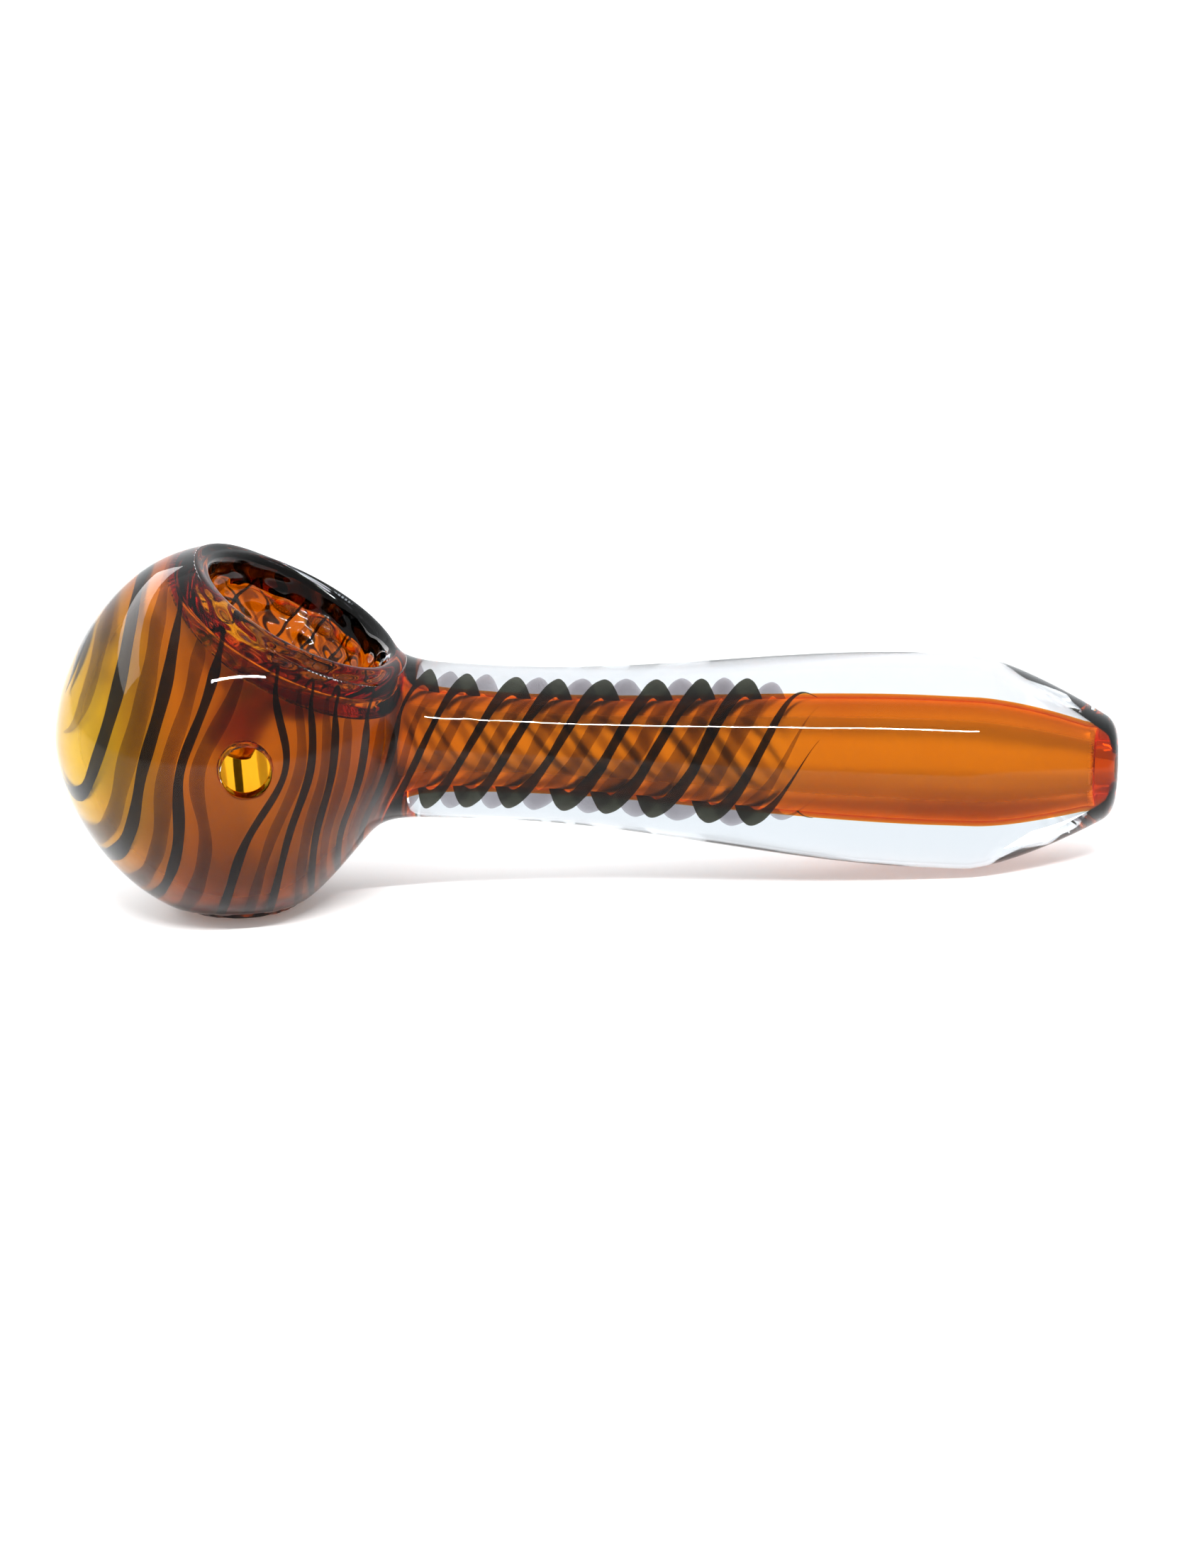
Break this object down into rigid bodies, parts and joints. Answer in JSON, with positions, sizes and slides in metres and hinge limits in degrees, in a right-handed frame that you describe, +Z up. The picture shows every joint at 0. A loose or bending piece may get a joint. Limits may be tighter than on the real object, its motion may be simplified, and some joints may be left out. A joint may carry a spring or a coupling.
{
  "type": "glass spoon pipe",
  "caption": "Layered glass spoon pipe with a leaning bowl, a flat foot, a side carb hole, a bulged stem and spiral colour strands.",
  "frame": {"origin": "centre of the flat foot under the head", "axes": "+Z up; +X from the head along the stem to the mouthpiece; the carb hole is on the -Y side"},
  "size_m": [0.1143, 0.039, 0.0397],
  "materials": {
    "clear_glass": "clear fire-polished borosilicate",
    "amber_glass": "transparent amber",
    "black_glass": "dense black",
    "lilac_glass": "milky lilac"
  },
  "bodies": {
    "root": {"clear_casing": "clear_glass", "amber_liner": "amber_glass", "black_strand_1": "black_glass", "black_strand_2": "black_glass", "black_strand_3": "black_glass", "lilac_strand_1": "lilac_glass", "lilac_strand_2": "lilac_glass", "lilac_strand_3": "lilac_glass"}
  },
  "joints": []
}
